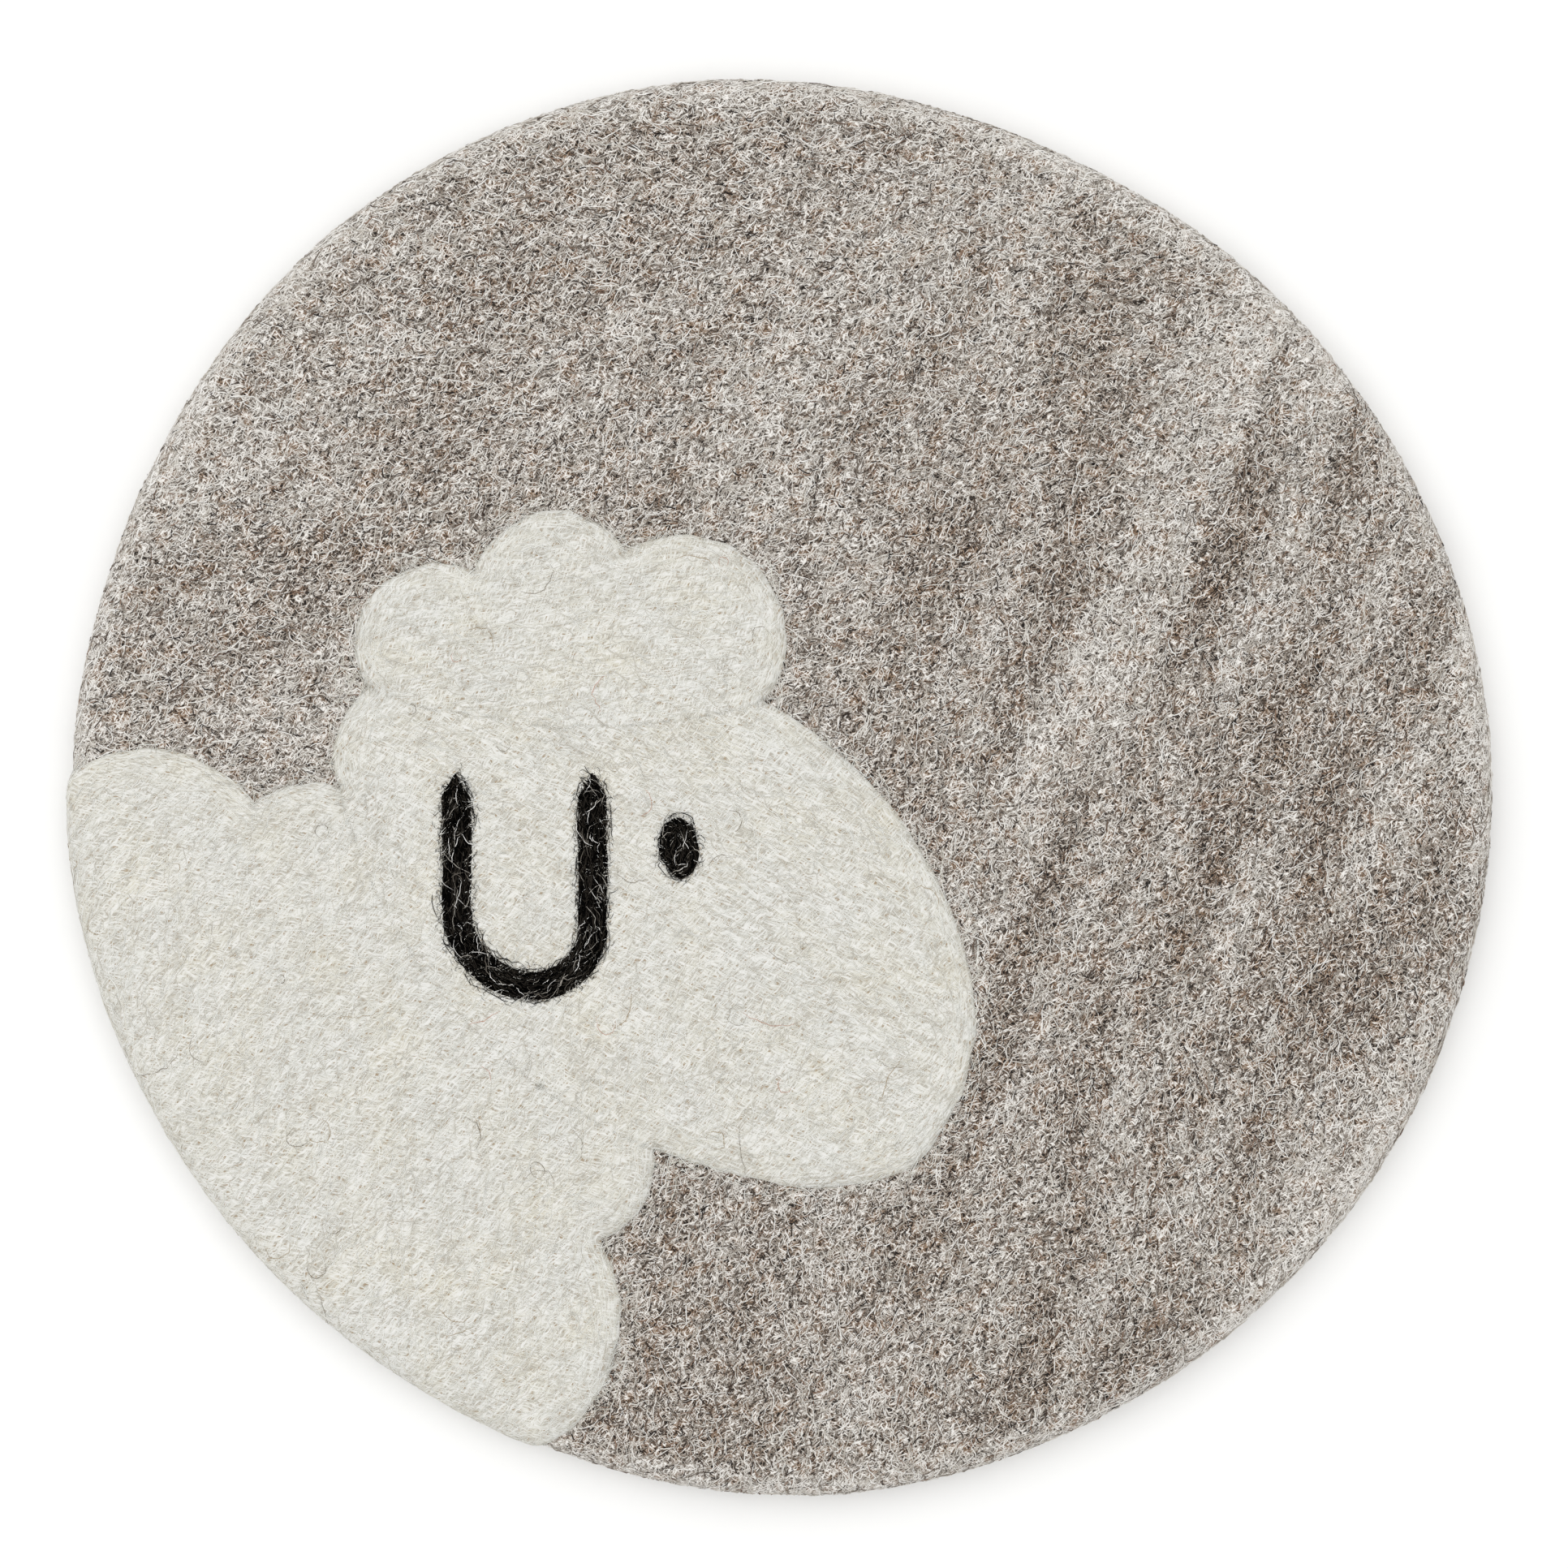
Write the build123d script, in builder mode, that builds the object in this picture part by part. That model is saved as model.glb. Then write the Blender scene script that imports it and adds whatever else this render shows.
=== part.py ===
from build123d import *
import os

# Round wool-felt trivet with a white sheep felted into its top.
# Frame: +Z up, +Y towards the top of the sheep, origin at the centre of the underside.
# Every layer of the motif lies in a shallow pocket of the layer below it, face to face.

# ---- driving dimensions, mm ----
mat_radius = 105.0
mat_thickness = 10.0
top_round = 4.5  # rounding of the rim's upper edge
bottom_round = 3.5  # rounding of the rim's lower edge

motif_depth = 0.9  # how far the white wool goes into the grey
motif_rise = 0.6  # how far it stands above the grey
motif_hem = bottom_round  # height at which it ends on the side of the rim

black_depth = 0.8  # how far the black wool goes into the white
black_rise = 0.2  # how far it stands above the white

strand_width = 4.3  # the ear's strand of wool
strand_point = 3.8  # length of the strand's pointed ends
ear_low = (-36.7, -29.2)  # lowest point of the middle of the strand
ear_back_radius = 11.5  # the strand's bend on the side of the nape
ear_front_radius = 8.5  # its bend on the side of the eye
ear_tips = 2.3  # height of both points along Y

eye_centre = (-15.4, -9.0)
eye_width = 5.7
eye_height = 9.1
eye_tilt = 7.0  # degrees

clearance = 1.0  # how far a cutting shape stands beyond the face it leaves by

# ---- heights that follow from them ----
motif_floor = mat_thickness - motif_depth
motif_top = mat_thickness + motif_rise
black_floor = motif_top - black_depth

# ---- corners where two rounded lobes of the outline meet ----
back_start = (-110.0, -3.0)  # outside the rim
back_notch = (-78.0, -2.2)
nape = (-65.5, -0.3)
cap_left = (-61.6, 14.6)
cap_right = (-2.9, 12.5)
muzzle_front = (27.6, -28.0)
lip = (19.5, -55.8)
jaw = (-7.5, -56.9)
throat = (-19.1, -53.6)
chest_notch = (-26.9, -66.7)
chest_end = (-39.0, -100.0)

# ---- each lobe: start, a point that it bulges to, end ----
back_lobes = [
    (back_start, (-92.3, 5.5), back_notch),
    (back_notch, (-71.6, 0.5), nape),
]
neck_line = (nape, (-48.5, -32.5), throat)
chest_lobes = [
    (throat, (-20.3, -60.8), chest_notch),
    (chest_notch, (-24.4, -81.5), chest_end),
]
cap_lobes = [
    (cap_left, (-60.2, 28.7), (-45.4, 31.8)),
    ((-45.4, 31.8), (-33.4, 40.5), (-23.3, 34.8)),
    ((-23.3, 34.8), (-4.6, 32.9), cap_right),
]
brow_line = (cap_left, (-34.0, 9.0), cap_right)
cheek = (cap_left, (-65.6, 8.2), nape)
face_lobes = [
    (cap_right, (15.4, -2.5), muzzle_front),
    (muzzle_front, (26.6, -43.5), lip),
    (lip, (6.0, -58.9), jaw),
]

closing_radius = 120.0  # bend of the arc that closes the body's outline, clear of the rim


def draw(arcs):
    """Draws a chain of three-point arcs into the open BuildLine."""
    for start, bulge, end in arcs:
        ThreePointArc(start, bulge, end)


# ---- white wool of the back and chest, wrapped over the rim ----
with BuildPart() as sheep_body:
    # section of the layer through the rim: it follows the rim's round at the same depth
    with BuildSketch(Plane.XZ):
        with BuildLine():
            inner_radius = mat_radius - motif_depth
            inner_round = top_round - motif_depth
            outer_round = top_round + motif_rise
            Line((0, motif_floor), (0, motif_top))
            Line((0, motif_top), (mat_radius - outer_round, motif_top))
            RadiusArc(
                (mat_radius - outer_round, motif_top),
                (mat_radius, motif_top - outer_round),
                outer_round,
            )
            Line((mat_radius, motif_top - outer_round), (mat_radius, motif_hem))
            Line((mat_radius, motif_hem), (inner_radius, motif_hem))
            Line((inner_radius, motif_hem), (inner_radius, motif_floor - inner_round))
            RadiusArc(
                (inner_radius, motif_floor - inner_round),
                (inner_radius - inner_round, motif_floor),
                -inner_round,
            )
            Line((inner_radius - inner_round, motif_floor), (0, motif_floor))
        make_face()
    revolve(axis=Axis.Z)
    with BuildSketch(Plane.XY):
        with BuildLine():
            draw(back_lobes)
            draw([neck_line])
            draw(chest_lobes)
            RadiusArc(chest_end, back_start, closing_radius)
        make_face()
    extrude(amount=motif_top + clearance, mode=Mode.INTERSECT)

# ---- white wool of the face and muzzle ----
with BuildPart() as sheep_head:
    with BuildSketch(Plane.XY.offset(motif_floor)) as head_outline:
        with BuildLine():
            draw(face_lobes)
            Line(jaw, throat)
            draw([neck_line, cheek, brow_line])
        make_face()
    extrude(amount=motif_depth + motif_rise)
    # pocket for the ear's strand
    with BuildSketch(Plane.XY.offset(black_floor)) as ear_outline:
        with BuildLine():
            half = strand_width / 2
            x, y = ear_low
            back = x - ear_back_radius
            front = x + ear_front_radius
            back_bend = y + ear_back_radius
            front_bend = y + ear_front_radius
            shoulder = ear_tips - strand_point
            RadiusArc((back - half, back_bend), (x, y - half), -ear_back_radius - half)
            RadiusArc((x, y - half), (front + half, front_bend), -ear_front_radius - half)
            Line((front + half, front_bend), (front + half, shoulder))
            Line((front + half, shoulder), (front, ear_tips))
            Line((front, ear_tips), (front - half, shoulder))
            Line((front - half, shoulder), (front - half, front_bend))
            RadiusArc((front - half, front_bend), (x, y + half), ear_front_radius - half)
            RadiusArc((x, y + half), (back + half, back_bend), ear_back_radius - half)
            Line((back + half, back_bend), (back + half, shoulder))
            Line((back + half, shoulder), (back, ear_tips))
            Line((back, ear_tips), (back - half, shoulder))
            Line((back - half, shoulder), (back - half, back_bend))
        make_face()
    extrude(amount=black_depth + clearance, mode=Mode.SUBTRACT)
    # pocket for the eye
    with BuildSketch(Plane.XY.offset(black_floor)) as eye_outline:
        with Locations(eye_centre):
            Ellipse(eye_width / 2, eye_height / 2, rotation=eye_tilt)
    extrude(amount=black_depth + clearance, mode=Mode.SUBTRACT)

# ---- white wool of the topknot ----
with BuildPart() as fleece_cap:
    with BuildSketch(Plane.XY.offset(motif_floor)) as cap_outline:
        with BuildLine():
            draw(cap_lobes)
            draw([brow_line])
        make_face()
    extrude(amount=motif_depth + motif_rise)

# ---- black wool: the ear's strand and the eye's tuft ----
with BuildPart() as ear:
    extrude(ear_outline.sketch, amount=black_depth + black_rise)

with BuildPart() as eye:
    extrude(eye_outline.sketch, amount=black_depth + black_rise)

# ---- grey pad, with the motif's pocket in its top and rim ----
with BuildPart() as felt_base:
    with BuildSketch(Plane.XZ):
        with BuildLine():
            flat_top = mat_radius - top_round
            flat_bottom = mat_radius - bottom_round
            Line((0, 0), (0, mat_thickness))
            Line((0, mat_thickness), (flat_top, mat_thickness))
            RadiusArc(
                (flat_top, mat_thickness),
                (mat_radius, mat_thickness - top_round),
                top_round,
            )
            Line((mat_radius, mat_thickness - top_round), (mat_radius, bottom_round))
            RadiusArc((mat_radius, bottom_round), (flat_bottom, 0), bottom_round)
            Line((flat_bottom, 0), (0, 0))
        make_face()
    revolve(axis=Axis.Z)
    with BuildSketch(Plane.XY.offset(motif_floor)):
        add(head_outline.sketch)
        add(cap_outline.sketch)
    extrude(amount=motif_depth + clearance, mode=Mode.SUBTRACT)
    add(sheep_body.part, mode=Mode.SUBTRACT)

pieces = {
    "felt_base": felt_base,
    "sheep_body": sheep_body,
    "sheep_head": sheep_head,
    "fleece_cap": fleece_cap,
    "ear": ear,
    "eye": eye,
}
os.makedirs("parts", exist_ok=True)
for name, piece in pieces.items():
    piece.part.label = name
    export_step(piece.part, f"parts/{name}.step")
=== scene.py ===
"""Round wool-felt trivet with a white sheep felted into its top.

The felt's surfaces are fine meshes laid over the pad, and the loose wool on them is real fibres.
Both are first made flat, as if the pad's skin were peeled off and unrolled, and then laid round
the pad: (u, v) is a place on the flat skin, and the third number is the height above the felt.
"""

import math
from functools import partial

import bmesh
import bpy
import numpy as np
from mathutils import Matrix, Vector
from mathutils.geometry import delaunay_2d_cdt


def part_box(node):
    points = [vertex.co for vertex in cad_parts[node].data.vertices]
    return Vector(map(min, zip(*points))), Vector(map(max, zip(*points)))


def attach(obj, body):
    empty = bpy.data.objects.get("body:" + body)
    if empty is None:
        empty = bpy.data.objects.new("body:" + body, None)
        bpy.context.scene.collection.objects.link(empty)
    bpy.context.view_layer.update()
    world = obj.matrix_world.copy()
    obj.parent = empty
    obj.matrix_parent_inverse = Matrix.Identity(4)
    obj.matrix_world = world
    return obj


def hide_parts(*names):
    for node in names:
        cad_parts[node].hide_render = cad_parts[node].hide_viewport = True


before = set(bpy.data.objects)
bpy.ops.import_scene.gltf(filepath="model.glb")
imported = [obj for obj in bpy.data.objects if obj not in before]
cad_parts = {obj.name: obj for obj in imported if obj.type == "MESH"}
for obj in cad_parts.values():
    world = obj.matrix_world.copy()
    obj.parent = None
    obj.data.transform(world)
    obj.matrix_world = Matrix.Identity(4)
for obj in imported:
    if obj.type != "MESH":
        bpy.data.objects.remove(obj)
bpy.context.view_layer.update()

bl_info = {
    "name": "Wool Felt Trivet",
    "version": (1, 0, 0),
    "blender": (4, 5, 0),
    "location": "3D View > Sidebar > Felt Trivet",
    "description": "Builds a round felted-wool trivet with a white sheep motif, fibre by fibre",
    "category": "Object",
}

MM = 0.001
BODY = "root"

# ---- the pad's section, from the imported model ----
PAD_LOW, PAD_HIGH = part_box("felt_base")
PAD_RADIUS = (PAD_HIGH[0] - PAD_LOW[0]) / 2
PAD_TOP = PAD_HIGH[2]
MOTIF_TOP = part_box("sheep_head")[1][2]


def flat_radius(node, height):
    """How far from the middle a node's flat face at this height reaches."""
    places = [v.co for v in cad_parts[node].data.vertices]
    return max(math.hypot(p.x, p.y) for p in places if abs(p.z - height) < 1e-5)


TOP_FLAT = flat_radius("felt_base", PAD_TOP)
LOW_FLAT = flat_radius("felt_base", 0.0)
TOP_ROUND = PAD_RADIUS - TOP_FLAT
LOW_ROUND = PAD_RADIUS - LOW_FLAT
ROUND_END = TOP_FLAT + TOP_ROUND * math.pi / 2  # over the skin from the middle to the upright side
SIDE_END = ROUND_END + PAD_TOP - TOP_ROUND - LOW_ROUND  # to the rim's lower round
SKIN_END = SIDE_END + LOW_ROUND * math.pi / 2  # to the underside's flat

# Slow waves of a hand-felted rim: how many round it, how high in mm, and where they crest in degrees.
RIM_WAVES = (
    (1, 0.5, -174), (2, 1.0, -40), (3, 0.35, 0), (4, 0.6, 12), (5, 0.25, -26), (8, 0.15, 2),
)
RIM_SHRINK = 0.6 * MM  # how far the waves' middle lies inside the CAD disc


# ---- noise and maps of the flat skin ----
def between(values, column, row, across, along):
    """A table's values between neighbouring places; the table repeats for ever."""
    count = len(values)
    near, far = column % count, (column + 1) % count

    def blended(row):
        return values[near, row % count] * (1 - across) + values[far, row % count] * across

    return blended(row) * (1 - along) + blended(row + 1) * along


def soft_noise(x, y, seed):
    """Smooth noise from -1 to 1 on a lattice of one unit."""
    table = np.random.RandomState(seed).rand(256, 256) * 2 - 1
    column, row = np.floor(x).astype(int), np.floor(y).astype(int)
    across, along = x - column, y - row
    across = across * across * (3 - 2 * across)
    along = along * along * (3 - 2 * along)
    return between(table, column, row, across, along)


def clouds(u, v, size, seed, octaves=3, angle=0.0, stretch=1.0):
    """Patchy noise: patches of this size, longer by stretch along the angle, with finer ones in them."""
    along = u * math.cos(angle) + v * math.sin(angle)
    across = v * math.cos(angle) - u * math.sin(angle)
    total = 0.0
    for octave in range(octaves):
        finer = 2.03**octave / size
        noise = soft_noise(along * finer / stretch, across * finer, seed + octave)
        total = total + noise / 1.8**octave
    return total


TABLE_GAP = 0.02 * MM  # the lowest that any wool reaches

MAP_STEP = 0.5 * MM
MAP_HALF = SKIN_END + 3 * MM
MAP_COUNT = int(2 * MAP_HALF / MAP_STEP) + 1
MAP_AXIS = np.linspace(-MAP_HALF, MAP_HALF, MAP_COUNT)
MAP_U, MAP_V = np.meshgrid(MAP_AXIS, MAP_AXIS, indexing="ij")


def read_map(values, u, v):
    """A map's values at places on the skin."""
    x, y = (
        np.clip((w + MAP_HALF) / (2 * MAP_HALF) * (MAP_COUNT - 1), 0, MAP_COUNT - 1.001) for w in (u, v)
    )
    column, row = x.astype(int), y.astype(int)
    return between(values, column, row, x - column, y - row)


def bell(distance, width):
    """1 at no distance, falling softly to 0."""
    return np.exp(-((distance / width) ** 2))


# ---- outlines of the motif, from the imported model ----
def flatten(place):
    """Where a point of the pad's top or rim lies on the flat skin, and the way out of the felt."""
    radius = math.hypot(place.x, place.y)
    outward = Vector((place.x, place.y, 0)) / max(radius, 1e-9)
    drop = PAD_TOP - TOP_ROUND - place.z
    if radius <= TOP_FLAT:
        distance, way = radius, Vector((0, 0, 1))
    elif drop < 0:
        turn = math.atan2(radius - TOP_FLAT, -drop)
        distance = TOP_FLAT + TOP_ROUND * turn
        way = outward * math.sin(turn) + Vector((0, 0, math.cos(turn)))
    else:
        distance, way = ROUND_END + drop, outward
    return (outward.x * distance, outward.y * distance), way


FACES_OUT = 0.7  # cosine of the angle within which a face counts as facing out of the felt


def outline(node):
    """The edge of a node's outer face on the flat skin: a closed loop of (u, v)."""
    bm = bmesh.new()
    bm.from_mesh(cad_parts[node].data)
    bmesh.ops.remove_doubles(bm, verts=bm.verts, dist=1e-6)
    outer = {f for f in bm.faces if f.normal.dot(flatten(f.calc_center_median())[1]) > FACES_OUT}
    rim = {e for e in bm.edges if sum(f in outer for f in e.link_faces) == 1}
    loops = []
    while rim:
        edge = rim.pop()
        loop = [edge.verts[0], edge.verts[1]]
        while True:
            step = next((e for e in loop[-1].link_edges if e in rim), None)
            if step is None:
                break
            rim.remove(step)
            loop.append(step.other_vert(loop[-1]))
        loops.append([flatten(v.co)[0] for v in loop[:-1]])
    bm.free()
    lengths = [np.hypot(*(np.roll(p, -1, 0) - p).T).sum() for p in map(np.array, loops)]
    loop = np.array(loops[int(np.argmax(lengths))])
    u, v = loop.T
    turns_left = np.dot(u, np.roll(v, -1)) > np.dot(v, np.roll(u, -1))
    loop = loop if turns_left else loop[::-1]
    return np.roll(loop, -int(np.argmin(loop @ (1.0, 0.3))), 0)  # the same first point in every run


def divided(loop, spacing):
    """The loop with its long edges divided to about this spacing."""
    points = []
    for start, end in zip(loop, np.roll(loop, -1, 0), strict=True):
        parts = max(1, round(float(np.hypot(*(end - start))) / spacing))
        points += [start + (end - start) * i / parts for i in range(parts)]
    return np.array(points)


def edge_distance(x, y, starts, ends):
    """Distance from each place to the nearest of these straight edges."""
    nearest = np.full(x.shape, 1.0)
    for (ax, ay), (bx, by) in zip(starts, ends, strict=True):
        ex, ey = bx - ax, by - ay
        share = np.clip(((x - ax) * ex + (y - ay) * ey) / (ex * ex + ey * ey + 1e-15), 0, 1)
        nearest = np.minimum(nearest, np.hypot(x - ax - share * ex, y - ay - share * ey))
    return nearest


def inside(x, y, loop):
    """True at the places inside a closed loop."""
    within = np.zeros(x.shape, bool)
    for (ax, ay), (bx, by) in zip(loop, np.roll(loop, -1, 0), strict=True):
        if ay != by:
            crossing = ax + (y - ay) * (bx - ax) / (by - ay)
            within ^= ((ay > y) != (by > y)) & (x < crossing)
    return within


def edge_depth(x, y, loop):
    """How far inside a closed loop each place lies, below 0 outside it."""
    gap = edge_distance(x, y, loop, np.roll(loop, -1, 0))
    return np.where(inside(x, y, loop), gap, -gap)


SEAM_BAND = 1.5 * MM  # an edge this deep in the white wool counts wholly as a seam
WHITE_NODES = ("sheep_body", "sheep_head", "fleece_cap")
BLACK_NODES = ("ear", "eye")
OUTLINES = {node: outline(node) for node in WHITE_NODES + BLACK_NODES}


def motif_maps():
    """Signed distances into the white and the black wool, and the distance to the white's seams."""
    starts, ends, shared = [], [], []
    for node in WHITE_NODES:
        loop = OUTLINES[node]
        others = np.concatenate([divided(OUTLINES[n], 0.3 * MM) for n in WHITE_NODES if n != node])
        for start, end in zip(loop, np.roll(loop, -1, 0), strict=True):
            gap = np.hypot(*(others - (start + end) / 2).T).min()
            starts.append(start)
            ends.append(end)
            shared.append(gap < 0.4 * MM)
    starts, ends, shared = np.array(starts), np.array(ends), np.array(shared)
    white = np.any([inside(MAP_U, MAP_V, OUTLINES[node]) for node in WHITE_NODES], 0)
    border = edge_distance(MAP_U, MAP_V, starts[~shared], ends[~shared])
    seams = edge_distance(MAP_U, MAP_V, starts[shared], ends[shared])
    black = np.maximum(*[edge_depth(MAP_U, MAP_V, OUTLINES[node]) for node in BLACK_NODES])
    return np.where(white, border, -border), seams, black


WHITE_DEPTH, SEAM_GAP, BLACK_DEPTH = motif_maps()
SKIN_RADIUS = np.hypot(MAP_U, MAP_V)


def relief_maps():
    """Height of the grey, white, black and uppermost wool above the pad's plain skin."""
    sway = 0.16 * MM * clouds(MAP_U, MAP_V, 46 * MM, 11, 2)
    lumps = 0.08 * MM * clouds(MAP_U, MAP_V, 9 * MM, 21, 3)
    pressed = -0.12 * MM * bell(WHITE_DEPTH, 2.2 * MM)
    grey = sway + lumps + pressed
    depth = np.clip(WHITE_DEPTH, 0, None)
    rise = MOTIF_TOP - PAD_TOP
    puff = rise * (1 - np.exp(-depth / (0.9 * MM))) + 0.25 * MM * bell(depth - 3 * MM, 2.4 * MM)
    crease = 0.3 * MM * bell(SEAM_GAP, 0.9 * MM) * np.exp(-depth / (5 * MM))
    around = 0.18 * MM * bell(np.clip(-BLACK_DEPTH, 0, None), 2 * MM)
    drawn_in = 0.12 * MM * np.exp(-depth / (0.3 * MM))
    white = sway + 0.6 * lumps + puff - crease - around - drawn_in
    hollow = np.clip(WHITE_DEPTH - 0.6 * MM, 0, 0.7 * MM)
    round_over = 1 - np.exp(-np.clip(BLACK_DEPTH + 0.3 * MM, 0, None) / (0.5 * MM))
    black = white - 0.15 * MM + 0.45 * MM * round_over
    top = np.where(BLACK_DEPTH > 0, black, np.where(WHITE_DEPTH > 0, white, grey))
    return grey - hollow, white, black, top


GREY_RELIEF, WHITE_RELIEF, BLACK_RELIEF, TOP_RELIEF = relief_maps()


def doubled(angle):
    """A direction with no front or back, kept as its doubled angle so that it can be blended."""
    return np.stack([np.cos(2 * angle), np.sin(2 * angle)])


def along_edge(depth):
    """The direction of an outline, from the map of the distance to it."""
    slope_u, slope_v = np.gradient(depth)
    return doubled(np.arctan2(slope_u, -slope_v))


def grain_map():
    """The way that most fibres lie: with the outline near the white wool's edge, else as felted."""
    lie = math.radians(48) + math.radians(24) * np.clip((MAP_U - 0.8 * MAP_V) / (95 * MM), -1, 1)
    grey = doubled(lie + 0.35 * clouds(MAP_U, MAP_V, 25 * MM, 41, 2))
    on_body = np.clip((-18 * MM - MAP_V - MAP_U * 0.55) / (25 * MM), 0, 1)
    lie = math.radians(-24) + math.radians(72) * on_body
    inner = doubled(lie + 0.5 * clouds(MAP_U, MAP_V, 30 * MM, 31, 2))
    near = np.exp(-np.clip(WHITE_DEPTH, 0, None) / (5 * MM))
    white = inner * (1 - near) + along_edge(WHITE_DEPTH) * near
    return np.where(WHITE_DEPTH > -0.5 * MM, white, grey)


GRAIN = grain_map()
BLACK_GRAIN = along_edge(BLACK_DEPTH)


def shade_map():
    """Clouds of darker, browner wool in the grey: above 0 dark, below 0 pale. It is also darker towards
    the bottom and paler towards the left, and the rim is made paler as painted light.
    """
    steep = clouds(MAP_U, MAP_V, 7 * MM, 51, 3, math.radians(70), 4.0)
    shallow = clouds(MAP_U, MAP_V, 7 * MM, 61, 3, math.radians(28), 3.0)
    right = np.clip(0.5 + (MAP_U - 0.2 * MAP_V) / (130 * MM), 0, 1)
    broad = clouds(MAP_U, MAP_V, 34 * MM, 71, 2, math.radians(60), 1.6)
    # Painted light: the rounded rim is made paler, as if lit.
    rim = np.clip((SKIN_RADIUS - TOP_FLAT + 1 * MM) / (4 * MM), 0, 1)
    lower = np.clip(-MAP_V / (90 * MM), 0, 1)
    patches = 0.75 * steep * right * (1 - 0.35 * lower) + 0.36 * shallow * (1 - right)
    return patches + 0.22 * broad * (0.4 + 0.6 * right) + 0.15 * lower - 0.08 * (1 - right) - 0.9 * rim


SHADE = shade_map()


# ---- laying the flat skin round the pad ----
def lay_round(places, height):
    """Flat places with a height above the felt, as points on the pad's top and rim."""
    u, v = places.T[:2]
    skin = np.hypot(u, v)
    heading = np.arctan2(v, u)
    top_turn = np.clip((skin - TOP_FLAT) / TOP_ROUND, 0, math.pi / 2)
    low_turn = np.clip((skin - SIDE_END) / LOW_ROUND, 0, math.pi / 2)
    side = np.clip(skin - ROUND_END, 0, SIDE_END - ROUND_END)
    turn = top_turn + low_turn
    radius = np.minimum(skin, TOP_FLAT) + TOP_ROUND * np.sin(top_turn)
    radius = radius - LOW_ROUND * (1 - np.cos(low_turn))
    level = PAD_TOP - TOP_ROUND * (1 - np.cos(top_turn)) - side - LOW_ROUND * np.sin(low_turn)
    return points_at(radius + height * np.sin(turn), heading, level + height * np.cos(turn))


def points_at(radius, heading, level):
    """Points of the pad, moved in or out with its uneven rim and kept off the table."""
    radius = radius * rim_wave(radius, heading)
    return np.stack([radius * np.cos(heading), radius * np.sin(heading), np.maximum(level, TABLE_GAP)], 1)


def rim_wave(radius, heading):
    """How much the uneven rim stretches the pad here: nothing in the middle, all of it at the rim."""
    wave = sum(
        high * MM * np.cos(count * (heading - math.radians(crest))) for count, high, crest in RIM_WAVES
    )
    share = np.clip((radius - 0.7 * PAD_RADIUS) / (0.3 * PAD_RADIUS), 0, 1)
    return 1 + (wave - RIM_SHRINK) / PAD_RADIUS * share * share * (3 - 2 * share)


def lay_under(places, height):
    """Flat places as points on the underside, seen from below."""
    x, y = places.T[:2]
    radius = np.hypot(x, y)
    lift = 0.4 * MM + 0.2 * MM * clouds(x, y, 20 * MM, 81, 2)
    lift = lift * np.clip((LOW_FLAT - radius) / (6 * MM), 0, 1)
    return points_at(radius, np.arctan2(y, -x), lift - height)


# ---- meshes ----
def fill(loop, spacing, seed):
    """Triangles inside a flat loop: an even, slightly disordered net of points that meets the loop."""
    low, high = loop.min(0), loop.max(0)
    rows = np.arange(low[1], high[1], spacing * 0.866)
    u, v = np.meshgrid(np.arange(low[0], high[0], spacing), rows)
    u[1::2] += spacing / 2
    net = np.stack([u.ravel(), v.ravel()], 1)
    net += np.random.RandomState(seed).uniform(-0.15, 0.15, net.shape) * spacing
    net = net[edge_depth(*net.T, loop) > 0.55 * spacing]
    points = [Vector(p) for p in loop] + [Vector(p) for p in net]
    found = delaunay_2d_cdt(points, [], [list(range(len(loop)))], 1, 1e-7, False)
    flat = np.array([tuple(p) for p in found[0]])[:, :2]
    faces = np.array(found[2])
    return flat, faces[edge_depth(*flat[faces].mean(1).T, loop) > 0].tolist()


def circle(radius, spacing):
    """A flat round loop."""
    count = int(2 * math.pi * radius / spacing)
    turn = np.linspace(0, 2 * math.pi, count, endpoint=False)
    return np.stack([radius * np.cos(turn), radius * np.sin(turn)], 1)


def add_to_scene(name, data):
    """A new object in the scene."""
    made = bpy.data.objects.new(name, data)
    bpy.context.scene.collection.objects.link(made)
    return made


def add_felt(name, points, faces, skin, material, node):
    """Smooth padded felt that stands for a CAD node, with the places on the skin kept on its points."""
    mesh = bpy.data.meshes.new(name)
    mesh.from_pydata([tuple(p) for p in points], [], [tuple(f) for f in faces])
    store(mesh, "skin", skin)
    bm = bmesh.new()
    bm.from_mesh(mesh)
    bmesh.ops.remove_doubles(bm, verts=bm.verts, dist=1e-6)
    bmesh.ops.dissolve_degenerate(bm, edges=bm.edges, dist=1e-7)
    bmesh.ops.recalc_face_normals(bm, faces=bm.faces)
    bm.to_mesh(mesh)
    bm.free()
    mesh.polygons.foreach_set("use_smooth", [True] * len(mesh.polygons))
    mesh.materials.append(material)
    piece = add_to_scene(name, mesh)
    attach(piece, BODY)
    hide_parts(node)


def store(mesh, name, values):
    """Keeps a number or a vector per point on the mesh."""
    values = np.asarray(values, np.float32)
    kind, field = ("FLOAT", "value") if values.ndim == 1 else ("FLOAT_VECTOR", "vector")
    mesh.attributes.new(name, kind, "POINT").data.foreach_set(field, values.ravel())


def wobbled(loop, seed, amount, overlap=0.0):
    """A hand-felted edge: the loop, moved a little, and out under the next layer of white wool."""
    points = divided(loop, 0.7 * MM)
    run = np.roll(points, -1, 0) - np.roll(points, 1, 0)
    outward = np.stack([run[:, 1], -run[:, 0]], 1) / np.hypot(*run.T)[:, None]
    under = np.clip(read_map(WHITE_DEPTH, *points.T) / SEAM_BAND, 0, 1)
    way = np.stack([clouds(*points.T, 4 * MM, seed + more, 2) for more in (0, 9)], 1)
    return points + amount * way + overlap * outward * under[:, None]


# ---- materials ----
KERATIN_IOR = 1.54


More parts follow.
